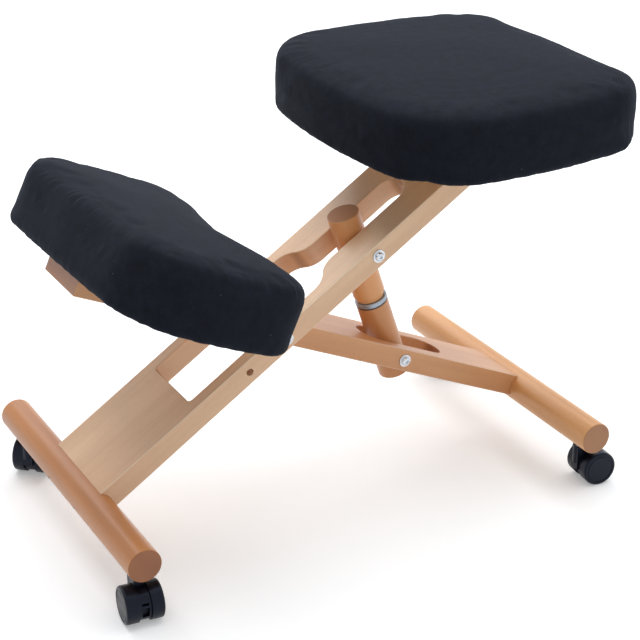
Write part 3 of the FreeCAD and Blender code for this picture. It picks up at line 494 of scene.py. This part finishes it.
def swollen(vertices, faces, voxel=4.6 * MM, swell=2.4, pressure=4.0):
    """Cloth under slight pressure over a pad: an even remesh of it, blown up and capped, with its underside held.

    Returns the new points in mm, their normals and the four-cornered faces.
    """
    start = mesh_object("start", vertices * MM, faces, CLOTH)
    remesh = start.modifiers.new("even", "REMESH")
    remesh.mode, remesh.voxel_size = "VOXEL", voxel
    graph = bpy.context.evaluated_depsgraph_get()
    even = bpy.data.meshes.new_from_object(start.evaluated_get(graph))
    bpy.data.objects.remove(start)
    cloth_piece = bpy.data.objects.new("cloth", even)
    scene.collection.objects.link(cloth_piece)
    before = points_of(even)
    held = cloth_piece.vertex_groups.new(name="held")
    held.add(np.flatnonzero(before[:, 2] < HELD_HEIGHT).tolist(), 1.0, "REPLACE")
    modifier = cloth_piece.modifiers.new("cloth", "CLOTH")
    settings = modifier.settings
    settings.quality = 5
    settings.mass = 0.3
    settings.tension_stiffness = settings.compression_stiffness = 25
    settings.shear_stiffness = 8
    settings.bending_stiffness = 2
    settings.use_pressure = True
    settings.uniform_pressure_force = pressure
    settings.effector_weights.gravity = 0
    settings.vertex_group_mass = "held"
    modifier.point_cache.frame_start, modifier.point_cache.frame_end = 1, CLOTH_FRAMES
    for frame_number in range(1, CLOTH_FRAMES + 1):
        scene.frame_set(frame_number)
    graph = bpy.context.evaluated_depsgraph_get()
    blown = bpy.data.meshes.new_from_object(cloth_piece.evaluated_get(graph))
    move = points_of(blown) - before
    far = np.linalg.norm(move, axis=1) + 1e-12
    cap = swell * MM
    after = before + move * (cap * np.tanh(far / cap) / far)[:, None]
    bpy.data.objects.remove(cloth_piece)
    scene.frame_set(1)
    blown.vertices.foreach_set("co", after.ravel())
    smooth = bpy.data.objects.new("smooth", blown)
    scene.collection.objects.link(smooth)
    levels = smooth.modifiers.new("levels", "SUBSURF")
    levels.levels = levels.render_levels = 1
    graph = bpy.context.evaluated_depsgraph_get()
    finer = bpy.data.meshes.new_from_object(smooth.evaluated_get(graph))
    bpy.data.objects.remove(smooth)
    corners = np.empty(len(finer.loops), int)
    finer.loops.foreach_get("vertex_index", corners)
    return points_of(finer) / MM, points_of(finer, "normal"), corners.reshape(-1, 4)


def hem_shell(pad, count=720):
    """Cloth turned under the panel's border and stapled there, flat, with an uneven cut edge."""
    random = np.random.default_rng(pad["seed"] + 50)
    outer = panel_outline(pad["panel"], HEM_OUTSIDE, count)
    inner = panel_outline(pad["panel"], -HEM_WIDTH, count)
    share = np.arange(count) / count
    length = np.linalg.norm(np.roll(outer, -1, axis=0) - outer, axis=1).sum()
    cut = HEM_CUT * ripple(share, length, (40, 160), 7, random)
    lift = HEM_LIFT * (1 + np.tanh(ripple(share, length, (18, 50), 9, random)))
    toward = outer - inner
    toward /= np.linalg.norm(toward, axis=1)[:, None]
    inner = inner + toward * cut[:, None]
    rows = []
    for across, height in ((0.0, 0.0), (0.0, -1.0), (0.35, -1.0), (0.7, -1.0), (1.0, -0.6), (1.0, 0.4), (0.5, 0.4)):
        flat = inner * (1 - across) + outer * across
        level = height * (HEM_THICKNESS + lift * across) if height < 0 else np.full(count, height)
        rows.append(np.column_stack([flat, level * np.ones(count)]))
    rings = np.array(rows)
    index = np.arange(rings.shape[0] * count).reshape(rings.shape[0], count)
    following, upper = np.roll(index, -1, axis=1), np.roll(index, -1, axis=0)
    quads = np.stack([index, upper, np.roll(upper, -1, axis=1), following], 2).reshape(-1, 4)
    return rings.reshape(-1, 3), quads


def staples(pad, spacing=27.0):
    """Staples through the hem: thin flat bars 11 mm wide, set along it with small turns."""
    random = np.random.default_rng(pad["seed"] + 90)
    path = panel_outline(pad["panel"], -HEM_WIDTH * 0.45, 720)
    length = np.linalg.norm(np.roll(path, -1, axis=0) - path, axis=1).sum()
    number = int(length / spacing)
    at = (np.arange(number) * 720 // number + random.integers(-4, 5, number)) % 720
    run = path[(at + 3) % 720] - path[at - 3]
    angle = np.arctan2(run[:, 1], run[:, 0]) + random.uniform(-STAPLE_TURN, STAPLE_TURN, number)
    corners = np.array([(x, y, z) for x in (-1, 1) for y in (-1, 1) for z in (-1, 1)]) * STAPLE_HALF
    turned = np.stack([corners[:, 0] * np.cos(angle)[:, None] - corners[:, 1] * np.sin(angle)[:, None],
                       corners[:, 0] * np.sin(angle)[:, None] + corners[:, 1] * np.cos(angle)[:, None],
                       np.broadcast_to(corners[:, 2], (number, 8))], 2)
    turned[:, :, :2] += path[at][:, None]
    turned[:, :, 2] -= STAPLE_BELOW
    box = np.array([(0, 1, 3, 2), (4, 6, 7, 5), (0, 4, 5, 1), (2, 3, 7, 6), (0, 2, 6, 4), (1, 5, 7, 3)])
    faces = (box[None] + 8 * np.arange(number)[:, None, None]).reshape(-1, 4)
    return turned.reshape(-1, 3), faces


def off_panel(pad, points):
    """0 beside the base panel, where the pad must keep its fit, to 1 at 20 mm outside it or 45 mm up."""
    half_x, half_y = pad["panel"]
    past = np.maximum(np.abs(points[:, 0]) - half_x, np.abs(points[:, 1]) - half_y)
    return np.maximum(np.clip(past / 20, 0, 1), np.clip(points[:, 2] / 30 - 0.5, 0, 1))


def fitted(pad, points):
    """Stretches a pad to its outline's own width, depth and height, larger by grow for the cloth's soft edge."""
    outline, grow = rounded_outline(mirrored(pad["outline"]), 720), pad["grow"]
    low, high = points.min(0), points.max(0)
    wanted_low = np.append(outline.min(0) - grow, 0)
    wanted_high = np.append(outline.max(0) + grow, pad["thickness"] + pad["crown"] + grow)
    share = (points - low) / (high - low)
    wanted = wanted_low + share * (wanted_high - wanted_low)
    return points + (wanted - points) * off_panel(pad, points)[:, None]


def in_place(pad, points, origin, axes):
    """Local points in mm at their place in the row frame, in metres; the pad turns and leans a little first."""
    turn = math.radians(pad["yaw"])
    x = points[:, 0] * math.cos(turn) - points[:, 1] * math.sin(turn)
    y = points[:, 0] * math.sin(turn) + points[:, 1] * math.cos(turn)
    z = points[:, 2] + (pad["lean"] * x - pad["drop"]) * off_panel(pad, points)
    return origin + np.column_stack([x, y, z]) @ np.array(axes) * MM


def cushion(name, pad, origin, axes, body, node_name):
    """One upholstered pad: the swollen cloth, its hem under the panel, and the staples."""
    points, faces = closed_grid(pad_rings(pad))
    points, normals, faces = swollen(points, faces)
    points = puckered(pad, fitted(pad, points), normals, pad["push"])
    hem, hem_faces = hem_shell(pad)
    everything = in_place(pad, np.vstack([points, hem]), origin, axes)
    piece = mesh_object(name, everything, list(faces) + list(hem_faces + len(points)), CLOTH)
    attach(piece, body)
    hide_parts(node_name)
    bars, bar_faces = staples(pad)
    fixings = mesh_object(f"{name}_staples", in_place(pad, bars, origin, axes), bar_faces, ZINC, smooth=False)
    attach(fixings, body)


SEAT_BEHIND_CROSSING, KNEE_PAD_FROM_PIVOT, KNEE_BOARD_HALF, KNEE_PAD_ASIDE = 292.817, 411.2, 15.5, 1.2
SEAT_CENTRE = np.array([0.0, CROSSING[1] + SEAT_BEHIND_CROSSING * MM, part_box("seat_base_panel")[0].z])
cushion("seat_cushion_cloth", SEAT, SEAT_CENTRE, (ACROSS, (0, 1, 0), (0, 0, 1)), "main_frame", "seat_cushion")
KNEE_CENTRE = LOWER_PIVOT + MM * (KNEE_ALONG * KNEE_PAD_FROM_PIVOT + KNEE_OUT * KNEE_BOARD_HALF
                                  - ACROSS * KNEE_PAD_ASIDE)
cushion("knee_cushion_cloth", KNEE, KNEE_CENTRE, (ACROSS, -KNEE_ALONG, KNEE_OUT), "knee_frame", "knee_cushion")


# Threaded rod

def thread_rings(radius, pitch, depth, start, end, around=48, per_turn=8):
    """Right-handed trapezoid thread: the radius falls by depth along each pitch and turns with the angle.

    Radius = outer - depth * clipped triangle wave of (height / pitch - angle / full turn); it narrows at both ends.
    """
    height = np.linspace(start, end, int((end - start) / pitch * per_turn) + 1)[:, None]
    angle = np.linspace(0, 2 * math.pi, around, endpoint=False)[None, :]
    phase = np.mod(height / pitch - angle / (2 * math.pi), 1)
    groove = np.clip(np.abs(phase - 0.5) * 4 - 0.5, 0, 1)
    reach = radius - depth * (1 - groove)
    point = np.minimum(height - start, end - height)
    reach = np.minimum(reach, radius - depth - 0.4 + point * 0.8)
    return np.stack([reach * np.cos(angle), reach * np.sin(angle), height + 0 * angle], 2)


ROD_RADIUS, THREAD_PITCH, THREAD_DEPTH, ROD_START, ROD_LENGTH = 8.0, 4.0, 1.6, 12.0, 158.3
rod_vertices, rod_faces = closed_grid(
    thread_rings(ROD_RADIUS, THREAD_PITCH, THREAD_DEPTH, ROD_START, ROD_START + ROD_LENGTH))
strut_side = unit(np.cross(STRUT, ACROSS))
rod = mesh_object("threaded_rod_thread", LOWER_PIVOT + rod_vertices @ np.array([ACROSS, strut_side, STRUT]) * MM,
                  rod_faces, STEEL)
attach(rod, "lower_post")
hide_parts("threaded_rod")


# Floor, light and camera

def seen_ray(tree):
    """1 for rays from the eye or off a glossy or clear surface, which see the white studio; 0 for light."""
    path = add(tree, "ShaderNodeLightPath").node.outputs
    seen = add(tree, "ShaderNodeMath", {"i0": path["Is Camera Ray"], "i1": path["Is Glossy Ray"]},
               operation="MAXIMUM")
    return add(tree, "ShaderNodeMath", {"i0": seen, "i1": path["Is Transmission Ray"]}, operation="MAXIMUM")


FLOOR_HALF, FLOOR_GLOW = 12.0, 0.27
floor_made, floor_tree, floor_shader, _ = material(
    "studio_floor_white", 0.9, Base_Color=linear("#F3F6F9"), Specular_IOR_Level=0.0,
    Emission_Color=linear("#FFFFFF"))
glow = add(floor_tree, "ShaderNodeMath", {"i0": seen_ray(floor_tree)}, operation="MULTIPLY", i1=FLOOR_GLOW)
floor_tree.links.new(glow, floor_shader.inputs["Emission Strength"])
floor_corners = FLOOR_HALF * np.array([(-1, -1, 0), (1, -1, 0), (1, 1, 0), (-1, 1, 0)])
floor = mesh_object("floor", floor_corners, [np.arange(4)], floor_made, smooth=False)

# The studio is dimmer in front of the chair than behind it.
FRONT_LIGHT, REAR_LIGHT, TURN_SPAN = 0.36, 0.9, 0.8
world = bpy.data.worlds.new("studio")
scene.world = world
world.use_nodes = True
sky = world.node_tree
background = sky.nodes["Background"]
background.inputs["Color"].default_value = linear("#FFFFFF")
direction = add(sky, "ShaderNodeTexCoord", out="Generated")
to_rear = add(sky, "ShaderNodeSeparateXYZ", {"Vector": direction}, "Y")
fill = add(sky, "ShaderNodeMapRange", {"Value": to_rear}, From_Min=-TURN_SPAN, From_Max=TURN_SPAN,
           To_Min=FRONT_LIGHT, To_Max=REAR_LIGHT)
white = add(sky, "ShaderNodeMath", {"i0": fill, "i1": seen_ray(sky)}, operation="MAXIMUM")
sky.links.new(white, background.inputs["Strength"])

# One large soft light overhead, to the sitter's right, pointing straight down.
OVERHEAD_PLACE, OVERHEAD_SIZE, OVERHEAD_POWER = (-1.7, 0.3, 2.6), (5.0, 3.0), 95
light = bpy.data.lights.new("overhead", "AREA")
light.shape = "RECTANGLE"
light.size, light.size_y = OVERHEAD_SIZE
light.energy = OVERHEAD_POWER
lamp = bpy.data.objects.new("overhead", light)
lamp.location = OVERHEAD_PLACE
lamp.rotation_euler = Vector((0, 0, -1)).to_track_quat("-Z", "Y").to_euler()
scene.collection.objects.link(lamp)

CAMERA_PLACE, CAMERA_AZIMUTH, CAMERA_ELEVATION, LENS = (1.9489, -1.0640, 1.2624), 61.4, 24.7, 100.2
camera_data = bpy.data.cameras.new("camera")
camera_data.sensor_width = 36
camera_data.lens = LENS
camera_data.clip_start, camera_data.clip_end = 0.1, 60
camera = bpy.data.objects.new("camera", camera_data)
azimuth, elevation = math.radians(CAMERA_AZIMUTH), math.radians(CAMERA_ELEVATION)
back = Vector((math.sin(azimuth) * math.cos(elevation), -math.cos(azimuth) * math.cos(elevation),
               math.sin(elevation)))
camera.location = CAMERA_PLACE
camera.rotation_euler = (-back).to_track_quat("-Z", "Y").to_euler()
scene.collection.objects.link(camera)
scene.camera = camera

scene.view_settings.view_transform = "Standard"
